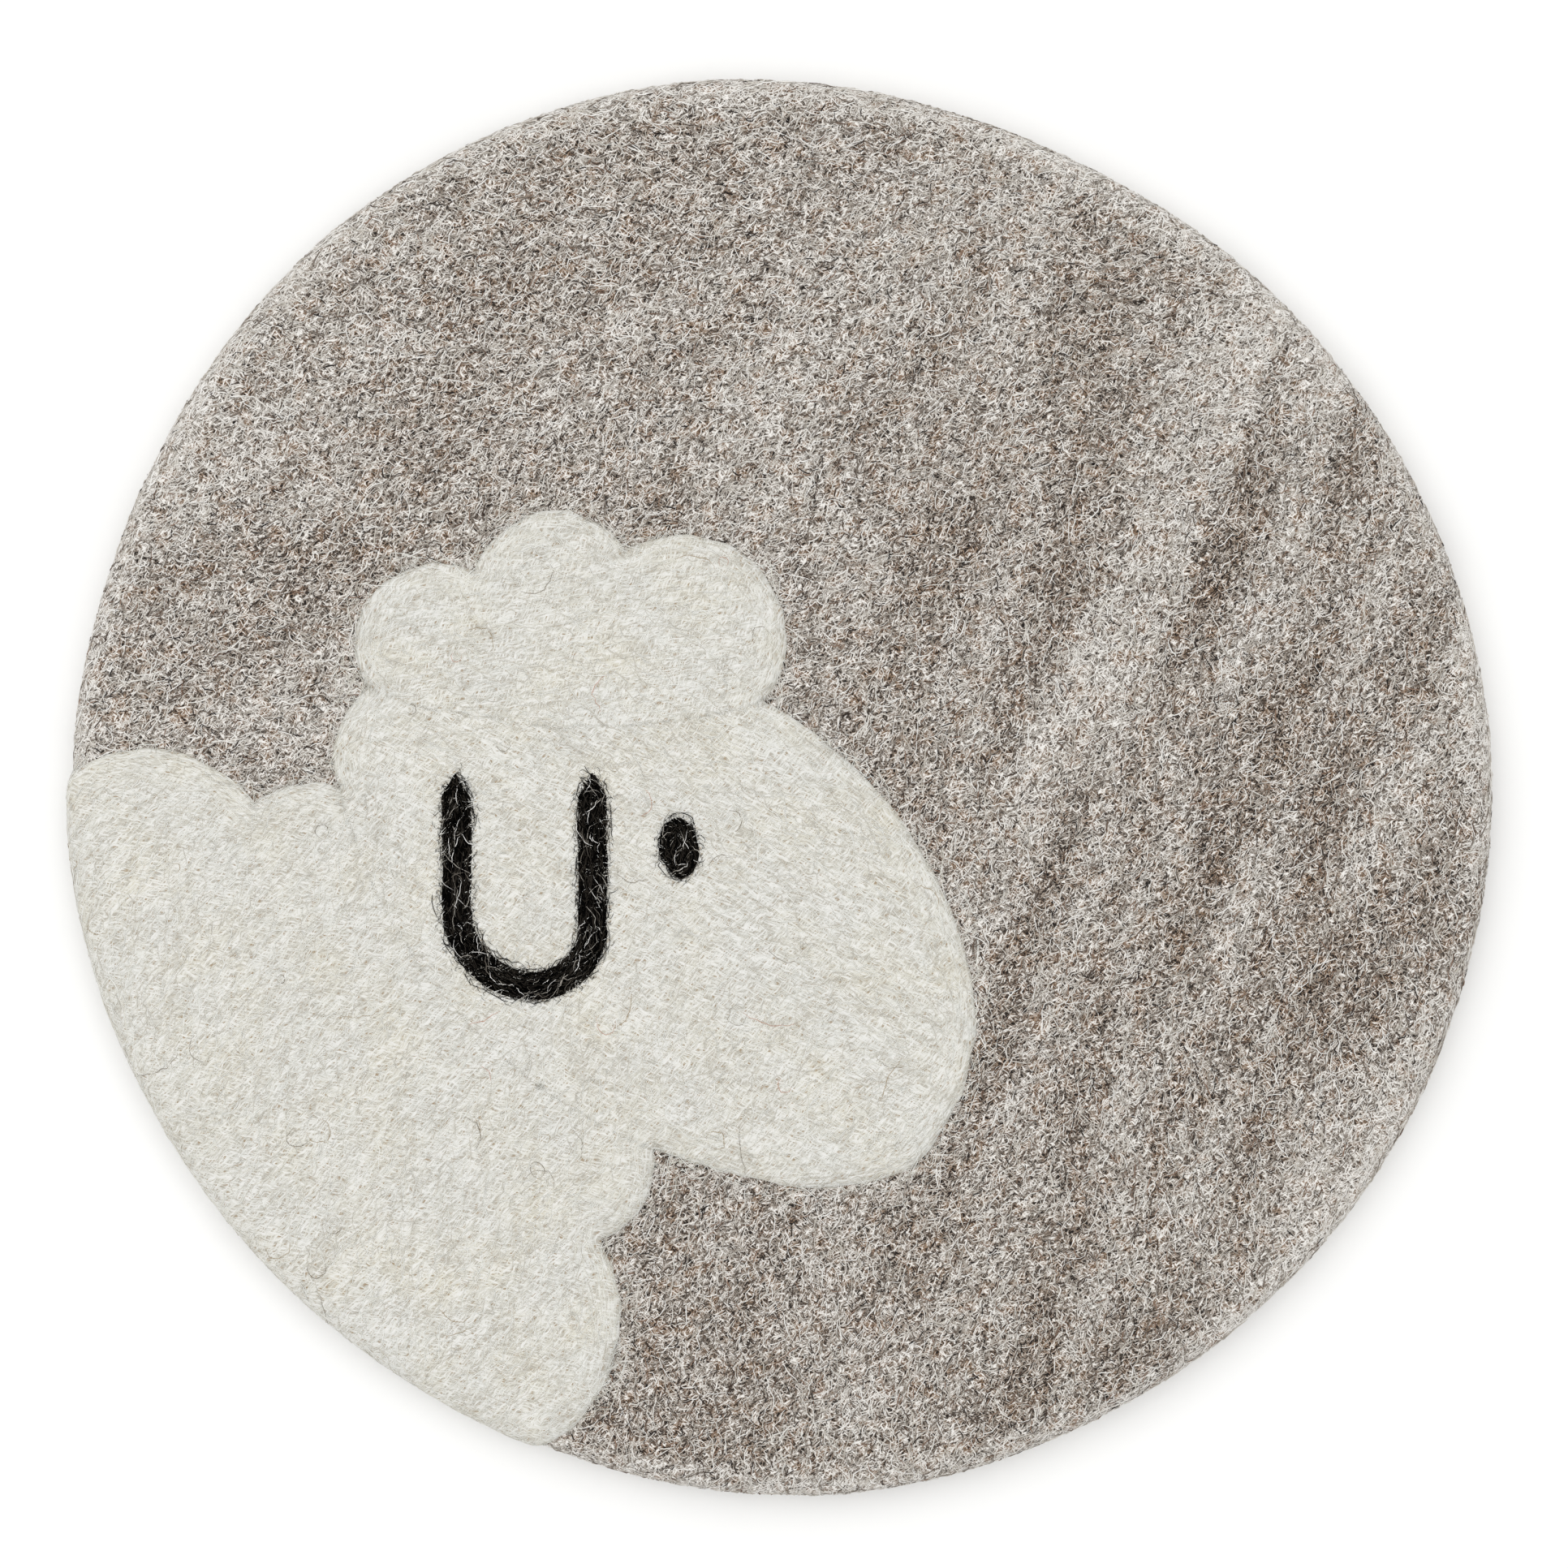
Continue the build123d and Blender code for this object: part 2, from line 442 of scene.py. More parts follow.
def linear(code):
    """Linear RGBA of an sRGB hex colour such as 'c8b49a'."""
    parts = [int(code[i : i + 2], 16) / 255 for i in (0, 2, 4)]
    return (*[c / 12.92 if c <= 0.04045 else ((c + 0.055) / 1.055) ** 2.4 for c in parts], 1.0)


def add_node(tree, kind, inputs=None, **settings):
    """Adds a node with its settings; inputs gives each socket a value or the output that feeds it."""
    node = tree.nodes.new(kind)
    for key, value in settings.items():
        setattr(node, key, value)
    for key, value in (inputs or {}).items():
        if isinstance(key, int):
            socket = node.inputs[key]
        else:
            socket = next(s for s in node.inputs if s.enabled and key in (s.name, s.identifier))
        if isinstance(value, bpy.types.NodeSocket):
            tree.links.new(value, socket)
        else:
            socket.default_value = value
    return node


def new_material(name):
    """An empty node material and its output node."""
    material = bpy.data.materials.new(name)
    material.use_nodes = True
    material.node_tree.nodes.clear()
    end = material.node_tree.nodes.new("ShaderNodeOutputMaterial")
    return material, material.node_tree, end


def maths(tree, operation, *values):
    """The result of an operation on numbers or outputs."""
    return add_node(tree, "ShaderNodeMath", dict(enumerate(values)), operation=operation).outputs[0]


def vectors(tree, operation, *values):
    """The vector that results from an operation on vectors or outputs."""
    return add_node(tree, "ShaderNodeVectorMath", dict(enumerate(values)), operation=operation).outputs[0]


def noise(tree, place, size, detail, **settings):
    """Noise with lumps of this size."""
    inputs = {"Vector": place, "Scale": 1 / size, "Detail": detail}
    return add_node(tree, "ShaderNodeTexNoise", inputs, **settings).outputs[0]


def straight_lie(tree, place, angle, wander, size, shift):
    """A field whose level lines run at this angle and wander to the sides like crimped wool."""
    sideways = (-math.sin(angle), math.cos(angle), 0)
    across = add_node(tree, "ShaderNodeVectorMath", {0: place, 1: sideways}, operation="DOT_PRODUCT")
    return wandering(tree, place, across.outputs["Value"], wander, size, shift)


def wandering(tree, place, across, wander, size, shift):
    """The field, with its level lines made to wander."""
    moved = vectors(tree, "ADD", place, (shift, shift, 0))
    sway = noise(tree, moved, size, 1.0, noise_dimensions="2D")
    return maths(tree, "MULTIPLY_ADD", sway, wander, across)


def strokes(tree, place, across, width, length, shift):
    """Short strokes of matted fibre, a noise drawn out along the level lines of a field."""
    along = vectors(tree, "MULTIPLY_ADD", place, (1 / length, 1 / length, 0), (shift, shift, 0))
    rise = add_node(tree, "ShaderNodeCombineXYZ", {"Z": maths(tree, "MULTIPLY", across, 1 / width)})
    drawn = vectors(tree, "ADD", along, rise.outputs[0])
    inputs = {"Vector": drawn, "Scale": 1.0, "Detail": 1.5, "Roughness": 0.6}
    return add_node(tree, "ShaderNodeTexNoise", inputs).outputs[0]


def mix(tree, share, a, b):
    """A colour mixed from two colours or colour outputs."""
    inputs = {"Factor": share, "A_Color": a, "B_Color": b}
    return add_node(tree, "ShaderNodeMix", inputs, data_type="RGBA").outputs[2]


def scaled(tree, value, low, high, to_low, to_high):
    """A value moved from one range to another, held at its ends."""
    ranges = {"Value": value, "From Min": low, "From Max": high, "To Min": to_low, "To Max": to_high}
    return add_node(tree, "ShaderNodeMapRange", ranges).outputs[0]


def toward(tree, base, colour, value, low, high, most=1.0, least=0.0):
    """The base colour, giving way to another one as a value goes from low to high."""
    return mix(tree, scaled(tree, value, low, high, least, most), base, colour)


def felt_shader(tree, end, colour, height, bump, gloss, sheen):
    """Matt wool: rough, with a faint sheen from the fibres that stand up, and the mat's fine relief."""
    relief = add_node(tree, "ShaderNodeBump", {"Height": height, "Strength": 1.0, "Distance": bump})
    wool = add_node(
        tree, "ShaderNodeBsdfPrincipled",
        {"Base Color": colour, "Roughness": 0.92, "IOR": KERATIN_IOR, "Specular IOR Level": gloss,
         "Sheen Weight": sheen, "Sheen Roughness": 0.6, "Normal": relief.outputs[0]},
    )
    tree.links.new(wool.outputs[0], end.inputs["Surface"])


def skin_place(tree):
    """The place on the flat skin, and the third number kept with it."""
    skin = add_node(tree, "ShaderNodeAttribute", attribute_name="skin").outputs["Vector"]
    third = add_node(tree, "ShaderNodeSeparateXYZ", {"Vector": skin}).outputs["Z"]
    return vectors(tree, "MULTIPLY", skin, (1, 1, 0)), third


def heather_felt(name, colours):
    """Heathered wet-felted wool: pale and grey-brown strokes over dark pores, in cloudy patches.
    The dark pores are partly dark wool and partly painted shade in the gaps between the strokes.

    Real fibres are 0.03 to 0.04 mm thick. The strokes are 0.2 mm wide, or none would show.
    """
    material, tree, end = new_material(name)
    place, shade = skin_place(tree)
    families = []
    for angle, length, shift in ((66, 1.2, 1.0), (20, 1.1, 5.0), (-42, 1.0, 9.0)):
        lie = straight_lie(tree, place, math.radians(angle), 0.75 * MM, 1.8 * MM, shift + 2.1)
        families.append(strokes(tree, place, lie, 0.2 * MM, length * MM, shift))
    steep, shallow, falling = families
    mesh = maths(tree, "MAXIMUM", maths(tree, "MAXIMUM", steep, shallow), falling)
    wool = toward(tree, colours.ground, colours.brown, shade, -0.3, 1.2, 0.5)
    wool = toward(tree, wool, colours.brown, noise(tree, place, 3 * MM, 3.0), 0.48, 0.64, 0.8)
    level = maths(tree, "MULTIPLY_ADD", shade, -0.04, mesh)
    # Painted shade: where the strokes lie low the colour goes to the dark one, which stands for shade in
    # the gaps between fibres as well as for dark wool.
    base = toward(tree, colours.dark, wool, level, 0.485, 0.555)
    base = toward(tree, base, colours.pale, level, 0.57, 0.67)
    felt_shader(tree, end, base, mesh, 0.16 * MM, 0.25, 0.1)
    return material


def white_felt(name, colours, lie, cross):
    """Natural white wool: fibres with little contrast, which lie along its edge, and tan flecks.
    The light colour is painted light on the fibres on top, and the shadow colour is painted shade in the
    gaps between them. The flecks are real tan flecks and also painted shade in the pits.
    """
    material, tree, end = new_material(name)
    place, depth = skin_place(tree)
    patches = noise(tree, place, 11 * MM, 3.0)
    base = toward(tree, colours.ground, colours.cream, patches, 0.4, 0.7, 0.8)
    lie_of_locks = straight_lie(tree, place, lie, 5 * MM, 9 * MM, 5.5)
    locks = strokes(tree, place, lie_of_locks, 1.5 * MM, 9 * MM, 4.0)
    # Painted shade and painted light, in streaks the size of locks.
    base = toward(tree, base, colours.shadow, locks, 0.5, 0.34, 0.25)
    base = toward(tree, base, colours.light, locks, 0.5, 0.66, 0.45)
    families = []
    for field, length, shift in (
        (straight_lie(tree, place, lie, 0.8 * MM, 1.8 * MM, 2.3), 1.9, 2.0),
        (straight_lie(tree, place, cross, 0.7 * MM, 1.7 * MM, 9.1), 1.5, 6.0),
        (wandering(tree, place, depth, 0.4 * MM, 1.8 * MM, 4.2), 2.8, 8.0),
    ):
        families.append(strokes(tree, place, field, 0.21 * MM, length * MM, shift))
    inner, crossing, edge = families
    near = scaled(tree, depth, 1 * MM, 6 * MM, 0.85, 0.0)
    inputs = {"Factor": near, "A_Float": inner, "B_Float": edge}
    along = add_node(tree, "ShaderNodeMix", inputs, data_type="FLOAT").outputs[0]
    mesh = maths(tree, "MAXIMUM", along, crossing)
    # Painted shade in the gaps between fibres: the shadow colour, with tan flecks and painted shade in
    # pits where this noise is high.
    pits = noise(tree, place, 0.6 * MM, 0.0)
    gap = toward(tree, colours.shadow, colours.fleck_and_pit_shade, pits, 0.54, 0.7)
    base = toward(tree, gap, base, mesh, 0.44, 0.54, 1.0, 0.2)
    # Painted light: the fibres on top are lightened.
    base = toward(tree, base, colours.light, mesh, 0.56, 0.66, 0.9)
    felt_shader(tree, end, base, mesh, 0.08 * MM, 0.25, 0.1)
    return material


def black_felt(name, colours):
    """Black wool drawn along a strand: nearly no light comes back but off single fibres."""
    material, tree, end = new_material(name)
    place, depth = skin_place(tree)
    along = wandering(tree, place, depth, 0.5 * MM, 2 * MM, 1.3)
    mesh = strokes(tree, place, along, 0.3 * MM, 2.6 * MM, 3.0)
    base = toward(tree, colours.ground, colours.glint, mesh, 0.54, 0.68)
    felt_shader(tree, end, base, mesh, 0.3 * MM, 0.02, 0.0)
    return material


def wool_fibre(name, code, gloss):
    """One natural shade of wool fibre: a scaly keratin hair, softly shiny along its length."""
    material, tree, end = new_material(name)
    wool = add_node(
        tree, "ShaderNodeBsdfPrincipled",
        {"Base Color": linear(code), "Roughness": 0.7, "IOR": KERATIN_IOR, "Specular IOR Level": gloss},
    )
    tree.links.new(wool.outputs[0], end.inputs["Surface"])
    return material


# ---- fibres ----
GREY_AREA = 0.033  # m2 of grey skin, top and rim
WHITE_AREA = 0.0125
UNDER_AREA = 0.0315
FIBRE_TREE = "curly wool fibres"
FIBRE_INPUTS = {
    "Geometry": ("Sheet",),
    "Int": ("Points", "Seed"),
    "Float": (
        "Density", "Length", "Length Spread", "Thickness", "Curl", "Wander", "Heading Spread", "Depth",
        "Lift",
    ),
    "Material": ("Pale", "Middle", "Deep"),
}


def fibre_tree():
    """The node tree that scatters curly fibres over a flat sheet and ends in tapered tubes."""
    tree = bpy.data.node_groups.new(FIBRE_TREE, "GeometryNodeTree")
    for kind, names in FIBRE_INPUTS.items():
        for name in names:
            tree.interface.new_socket(name, in_out="INPUT", socket_type=f"NodeSocket{kind}")
    tree.interface.new_socket("Fibres", in_out="OUTPUT", socket_type="NodeSocketGeometry")
    given = tree.nodes.new("NodeGroupInput").outputs

    product, total, less = (partial(maths, tree, name) for name in ("MULTIPLY", "ADD", "SUBTRACT"))

    def made(kind, inputs, **settings):
        """The first output of a new node."""
        return add_node(tree, kind, inputs, **settings).outputs[0]

    def attribute(name, kind="FLOAT"):
        return made("GeometryNodeInputNamedAttribute", {"Name": name}, data_type=kind)

    def keep(points, name, value, kind):
        """The points, with a value kept on them."""
        inputs = {"Geometry": points, "Name": name, "Value": value}
        return made("GeometryNodeStoreNamedAttribute", inputs, data_type=kind, domain="POINT")

    fibre, step = attribute("fibre", "INT"), attribute("step")

    def chance(low, high, number):
        """A random number that belongs to a fibre, another one for each number."""
        seed = total(product(given["Seed"], 31.0), float(number))
        inputs = {"Min_001": low, "Max_001": high, "ID": fibre, "Seed": seed}
        return add_node(tree, "FunctionNodeRandomValue", inputs, data_type="FLOAT").outputs[1]

    def wave(pace, apart):
        """Noise that runs along a fibre, another stretch of it for each fibre."""
        run = total(product(step, pace), product(fibre, apart))
        inputs = {"W": run, "Scale": 1.0, "Detail": 0.0}
        return made("ShaderNodeTexNoise", inputs, noise_dimensions="1D")

    # Roots, each repeated once for every point of its fibre.
    density = product(given["Density"], attribute("cover"))
    inputs = {"Mesh": given["Sheet"], "Density": density, "Seed": given["Seed"]}
    roots = made("GeometryNodeDistributePointsOnFaces", inputs, distribute_method="RANDOM")
    numbered = keep(roots, "fibre", made("GeometryNodeInputIndex", {}), "INT")
    inputs = {"Geometry": numbered, "Amount": given["Points"]}
    copies = add_node(tree, "GeometryNodeDuplicateElements", inputs, domain="POINT").outputs
    stepped = keep(copies[0], "step", copies[1], "FLOAT")

    # The heading of every step, and the walk that follows from it.
    steps = less(given["Points"], 1.0)
    along = maths(tree, "DIVIDE", step, steps)
    longer = total(1.0, product(given["Length Spread"], chance(-1, 1, 1)))
    stride = maths(tree, "DIVIDE", product(given["Length"], longer), steps)
    grain = product(maths(tree, "ARCTAN2", attribute("grain_y"), attribute("grain_x")), 0.5)
    turn = total(grain, product(given["Heading Spread"], chance(-1, 1, 2)))
    turn = total(turn, product(product(given["Curl"], chance(-1, 1, 3)), less(along, 0.5)))
    turn = total(turn, product(given["Wander"], less(wave(0.7, 7.31), 0.5)))
    ahead = product(stride, maths(tree, "COSINE", turn))
    aside = product(stride, maths(tree, "SINE", turn))
    inputs = {0: made("ShaderNodeCombineXYZ", {"X": ahead, "Y": aside}), "Group ID": fibre}
    walked = add_node(
        tree, "GeometryNodeAccumulateField", inputs, data_type="FLOAT_VECTOR", domain="POINT"
    ).outputs

    # Up and down through the others, and down at both ends.
    arch = maths(tree, "SINE", product(along, math.pi))
    height = product(given["Lift"], product(less(wave(0.45, 3.17), 0.25), 2.0))
    height = less(product(height, maths(tree, "POWER", arch, 0.5)), given["Depth"])
    half_back = vectors(tree, "MULTIPLY", walked["Total"], (-0.5, -0.5, -0.5))
    offset = vectors(tree, "ADD", walked["Trailing"], made("ShaderNodeCombineXYZ", {"Z": height}))
    offset = vectors(tree, "ADD", offset, half_back)
    laid = made("GeometryNodeSetPosition", {"Geometry": stepped, "Offset": offset})

    inputs = {"Points": laid, "Curve Group ID": fibre, "Weight": step}
    curves = made("GeometryNodePointsToCurves", inputs)
    section = made("GeometryNodeCurvePrimitiveCircle", {"Resolution": 3, "Radius": 1.0}, mode="RADIUS")
    taper = maths(tree, "POWER", maths(tree, "MAXIMUM", arch, 0.03), 0.5)
    thin = product(product(given["Thickness"], 0.5), product(taper, chance(0.65, 1.25, 6)))
    inputs = {"Curve": curves, "Profile Curve": section, "Scale": thin, "Fill Caps": True}
    single = made("GeometryNodeRealizeInstances", {"Geometry": made("GeometryNodeCurveToMesh", inputs)})
    painted = made("GeometryNodeSetMaterial", {"Geometry": single, "Material": given["Middle"]})
    tone = chance(0, 1, 7)
    for name, operation, level in (("Pale", "LESS_THAN", 0.33), ("Deep", "GREATER_THAN", 0.67)):
        inputs = {"A": tone, "B": level}
        chosen = made("FunctionNodeCompare", inputs, data_type="FLOAT", operation=operation)
        inputs = {"Geometry": painted, "Selection": chosen, "Material": given[name]}
        painted = made("GeometryNodeSetMaterial", inputs)
    add_node(tree, "NodeGroupOutput", {"Fibres": painted})
    return tree


def host_sheet(half, spacing, cover, grain):
    """A flat net that the fibres are scattered on, with how many and which way kept on its points."""
    count = int(2 * half / spacing) + 1
    axis = np.linspace(-half, half, count)
    u, v = np.meshgrid(axis, axis, indexing="ij")
    number = np.arange(count * count).reshape(count, count)
    corners = [number[:-1, :-1], number[1:, :-1], number[1:, 1:], number[:-1, 1:]]
    quads = np.stack(corners, -1).reshape(-1, 4)
    share = cover(u, v).ravel()
    used = share[quads].max(1) > 0
    mesh = bpy.data.meshes.new("sheet")
    points = np.stack([u.ravel(), v.ravel(), 0 * u.ravel()], 1)
    mesh.from_pydata(points.tolist(), [], quads[used].tolist())
    store(mesh, "cover", share)
    for axis_name, values in zip("xy", grain(u, v), strict=True):
        store(mesh, f"grain_{axis_name}", values.ravel())
    return add_to_scene("sheet", mesh)


def grow(name, cover, grain, lay, slot, half=MAP_HALF, **sizes):
    sheet = host_sheet(half, 1 * MM, cover, grain)
    modifier = sheet.modifiers.new("fibres", "NODES")
    modifier.node_group = bpy.data.node_groups.get(FIBRE_TREE) or fibre_tree()
    sockets = [s for s in modifier.node_group.interface.items_tree if s.in_out == "INPUT"]
    names = {s.name: s.identifier for s in sockets}
    for key, value in sizes.items():
        modifier[names[key.replace("_", " ").title()]] = value
    bpy.context.view_layer.update()
    seen = sheet.evaluated_get(bpy.context.evaluated_depsgraph_get())
    mesh = bpy.data.meshes.new_from_object(seen)
    bpy.data.objects.remove(sheet)
    mesh.name = name
    for layer in ("cover", "grain_x", "grain_y", "fibre", "step"):
        if layer in mesh.attributes:
            mesh.attributes.remove(mesh.attributes[layer])
    places = np.empty(len(mesh.vertices) * 3, np.float32)
    mesh.vertices.foreach_get("co", places)
    places = places.reshape(-1, 3).astype(float)
    mesh.vertices.foreach_set("co", lay(places).astype(np.float32).ravel())
    mesh.update()
    piece = add_to_scene(name, mesh)
    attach(piece, BODY)


def in_grey(places):
    """Grey fibres follow the grey felt's relief, and so run in under the white wool."""
    return lay_round(places, read_map(GREY_RELIEF, *places.T[:2]) + places[:, 2])


def on_top(places):
    """White and black fibres follow the relief of whatever they lie on."""
    return lay_round(places, read_map(TOP_RELIEF, *places.T[:2]) + places[:, 2])


def on_under(places):
    """Fibres on the underside."""
    return lay_under(places, places[:, 2])


def grain_of(grain):
    """The grain at places on the skin, from a grain map."""
    return lambda u, v: [read_map(part, u, v) for part in grain]


def fibre_set(prefix, codes, gloss=0.3):
    """The three shades that one lot of fibres is mixed from."""
    shades = zip(("pale", "middle", "deep"), codes, strict=True)
    return {shade: wool_fibre(f"{prefix}, {shade}", code, gloss) for shade, code in shades}


# ---- what a user may change ----
def colour_property(name, code, description):
    """A colour setting, given as an sRGB hex colour."""
    return bpy.props.FloatVectorProperty(
        name=name, description=description, subtype="COLOR", size=4, min=0, max=1, default=linear(code)
    )


def length_property(name, value, description):
    """A length setting, in metres."""
    return bpy.props.FloatProperty(
        name=name, description=description, default=value, min=0, unit="LENGTH", precision=5
    )


LENGTH_NOTE = "Usual length of the fibre that shows"
THICKNESS_NOTE = "Drawn thickness, coarser than real wool"


class GreyFeltSettings(bpy.types.PropertyGroup):
    """Sizes and colours of the grey heathered pad."""

    net: length_property("Net", 1.0 * MM, "Spacing of the points of the pad's surface")
    ground: colour_property("Ground", "887f75", "The matted wool between the fibres")
    # Dark: dark wool in the heather, and also painted shade in the gaps between its fibres.
    dark: colour_property("Dark", "16100c", "Dark wool in the heather")
    brown: colour_property("Brown", "8a6e54", "Brown wool in the heather")
    pale: colour_property("Pale", "e6e3de", "Pale fibres on top")
    fibre_length: length_property("Fibre length", 4.0 * MM, LENGTH_NOTE)
    fibre_thickness: length_property("Fibre thickness", 0.2 * MM, THICKNESS_NOTE)
    curl: bpy.props.FloatProperty(
        name="Curl", description="How far a fibre turns over its length, in radians", default=2.6
    )


class WhiteFeltSettings(bpy.types.PropertyGroup):
    """Sizes and colours of the white sheep."""

    net: length_property("Net", 0.7 * MM, "Spacing of the points of the white wool's surface")
    thickness: length_property("Thickness", 1.4 * MM, "How far the white wool goes into the pad")
    ground: colour_property("Ground", "cfcfc9", "The matted white wool")
    # Light: painted light on the fibres on top.
    light: colour_property("Light", "dfdeda", "Fibres on top")
    cream: colour_property("Cream", "d1cdbd", "Faint yellower patches")
    shadow: colour_property("Shadow", "a5a095", "Gaps between fibres")
    # Fleck: tan flecks, and painted shade in the pits between fibres.
    fleck_and_pit_shade: colour_property("Fleck", "8d7350", "Tan flecks and pits")
    fibre_length: length_property("Fibre length", 8 * MM, LENGTH_NOTE)
    fibre_thickness: length_property("Fibre thickness", 0.14 * MM, THICKNESS_NOTE)


class BlackWoolSettings(bpy.types.PropertyGroup):
    """Sizes and colours of the ear and the eye."""

    net: length_property("Net", 0.35 * MM, "Spacing of the points of the black wool's surface")
    thickness: length_property("Thickness", 0.7 * MM, "How far the black wool goes into the white")
    ground: colour_property("Ground", "050403", "The black wool")
    glint: colour_property("Glint", "302c27", "Fibres that catch the light")
    fibre_length: length_property("Fibre length", 3.4 * MM, LENGTH_NOTE)
    fibre_thickness: length_property("Fibre thickness", 0.13 * MM, THICKNESS_NOTE)


class StageSettings(bpy.types.PropertyGroup):
    """The table, the light and the camera."""

    view_width: length_property("View width", 230.8 * MM, "How much of the table the picture shows")
    lens: bpy.props.FloatProperty(name="Lens", description="Focal length", default=100.0, unit="CAMERA")
    floor: colour_property("Floor", "f6f6f5", "The plain table")
    main_light: bpy.props.FloatProperty(name="Main light", description="Power", default=5.9, unit="POWER")
    sky: bpy.props.FloatProperty(name="Sky", description="Even light from all round", default=0.87)


class FeltTrivetSettings(bpy.types.PropertyGroup):
    """Everything a user may change on the trivet."""

    grey: bpy.props.PointerProperty(type=GreyFeltSettings)
    white: bpy.props.PointerProperty(type=WhiteFeltSettings)
    black: bpy.props.PointerProperty(type=BlackWoolSettings)
    stage: bpy.props.PointerProperty(type=StageSettings)


# ---- pieces ----
def slab(name, node, loop, relief, depth_map, layer, seed, material, seam_tuck=0.0):
    """A layer of wool that lies in the felt: a fine upper face, a plain hidden lower one, and its edge.

    Where it meets the next layer of white wool, its edge is tucked down under that layer.
    """
    flat, faces = fill(loop, layer.net, seed)
    deep = np.clip(read_map(WHITE_DEPTH, *flat.T) / SEAM_BAND, 0, 1)
    tuck = seam_tuck * deep * np.clip(1 - edge_depth(*flat.T, loop) / (0.9 * MM), 0, 1) ** 2
    upper = lay_round(flat, read_map(relief, *flat.T) - tuck)
    low_flat, low_faces = fill(loop, 6 * MM, seed + 1)
    lower = lay_round(low_flat, read_map(relief, *low_flat.T) - layer.thickness)
    count = len(upper)
    walls = []
    for i in range(len(loop)):
        j = (i + 1) % len(loop)
        walls += [(i, j, count + j), (i, count + j, count + i)]
    under = [tuple(count + k for k in reversed(face)) for face in low_faces]
    skin = np.concatenate([flat, low_flat])
    skin = np.column_stack([skin, read_map(depth_map, *skin.T)])
    add_felt(name, np.concatenate([upper, lower]), faces + under + walls, skin, material, node)


class TRIVET_OT_grey_pad(bpy.types.Operator):
    """Make the round grey pad of heathered felt"""

    bl_idname = "trivet.grey_pad"
    bl_label = "Grey Felt Pad"

    def execute(self, context):
        grey = context.scene.felt_trivet.grey
        felt = heather_felt("wet-felted heather wool", grey)
        rim = circle(SKIN_END, grey.net)
        flat, faces = fill(rim, grey.net, 1)
        upper = lay_round(flat, read_map(GREY_RELIEF, *flat.T))
        under_loop = np.stack([-rim[:, 0], rim[:, 1]], 1) * (LOW_FLAT / SKIN_END)
        under_flat, under_faces = fill(under_loop, 2.2 * grey.net, 2)
        lower = lay_under(under_flat, 0.0)
        faces += [tuple(len(upper) + k for k in face) for face in under_faces]
        below = 0.5 * clouds(*under_flat.T, 30 * MM, 91)
        shade = np.concatenate([read_map(SHADE, *flat.T), below])
        skin = np.column_stack([np.concatenate([flat, under_flat]), shade])
        points = np.concatenate([upper, lower])
        add_felt("grey_felt_pad", points, faces, skin, felt, "felt_base")
        return {"FINISHED"}


class TRIVET_OT_white_sheep(bpy.types.Operator):
    """Make the sheep's body, head and topknot of white wool"""

    bl_idname = "trivet.white_sheep"
    bl_label = "White Sheep"

    def execute(self, context):
        white = context.scene.felt_trivet.white
        lies = {"sheep_body": (48, -12), "sheep_head": (-24, 48), "fleece_cap": (12, 66)}
        for seed, (node, angles) in enumerate(lies.items()):
            name = f"wet-felted natural white wool, {node}"
            felt = white_felt(name, white, *map(math.radians, angles))
            slab(
                f"white_{node}", node, wobbled(OUTLINES[node], 91, 0.3 * MM, 0.6 * MM), WHITE_RELIEF,
                WHITE_DEPTH, white, 10 * seed + 5, felt, 0.35 * MM,
            )
        return {"FINISHED"}


class TRIVET_OT_black_wool(bpy.types.Operator):
    """Make the ear's strand and the eye's tuft of black wool"""

    bl_idname = "trivet.black_wool"
    bl_label = "Black Ear and Eye"

    def execute(self, context):
        black = context.scene.felt_trivet.black
        felt = black_felt("black roving wool", black)
        for seed, node in enumerate(BLACK_NODES):
            slab(
                f"black_{node}", node, wobbled(OUTLINES[node], 95, 0.3 * MM), BLACK_RELIEF, BLACK_DEPTH,
                black, 40 + 10 * seed, felt,
            )
        return {"FINISHED"}


class TRIVET_OT_grey_fibres(bpy.types.Operator):
    """Scatter the grey pad's fibres over its top and rim"""

    bl_idname = "trivet.grey_fibres"
    bl_label = "Grey Fibres"

    def execute(self, context):
        grey = context.scene.felt_trivet.grey
        # Each lot: its three shades, how many fibres, how much it keeps to the darker clouds (below 0,
        # to the paler ones), and its fibres' length as a share of the usual one.
        lots = {
            "cream": (("e9e6e0", "dad5cd", "c9c3b9"), 5200, -0.6, 1.0),
            "ash": (("b0a99f", "938a80", "776d63"), 5800, 0.2, 1.0),
            "snow": (("f2f0ec", "e8e5e0", "dbd7d0"), 4700, -0.6, 1.0),
            "brown": (("8c7260", "695445", "493a30"), 5500, 1.0, 0.6),
            "soot": (("4a3e35", "2c231d", "17110e"), 6200, 1.3, 0.5),
            "hair": (("f0eeea", "e0dcd5", "c8c2b8"), 3000, -0.3, 1.8),
        }
        for seed, (name, (codes, count, follow, share)) in enumerate(lots.items()):

            def cover(u, v, follow=follow):
                # SHADE also holds the painted light along the rim, so the paler lots crowd there.
                shade = read_map(SHADE, u, v)
                grey_side = np.clip(0.6 - read_map(WHITE_DEPTH, u, v) / (0.6 * MM), 0, 1)
                return np.clip(1 + follow * shade, 0.1, 2.5) * grey_side * (np.hypot(u, v) < SKIN_END)

            drawn_out = max(1.0, share)
            grow(
                f"grey_fibres_{name}", cover, grain_of(GRAIN), in_grey, "grey_wool",
                density=count / GREY_AREA, points=round(2 + 4 * share), length=share * grey.fibre_length,
                length_spread=0.45, thickness=grey.fibre_thickness / drawn_out**0.5,
                curl=grey.curl * drawn_out, wander=2.4, heading_spread=0.9, depth=0.05 * MM,
                lift=0.2 * MM, seed=seed + 3, **fibre_set(f"{name} wool", codes),
            )
        return {"FINISHED"}


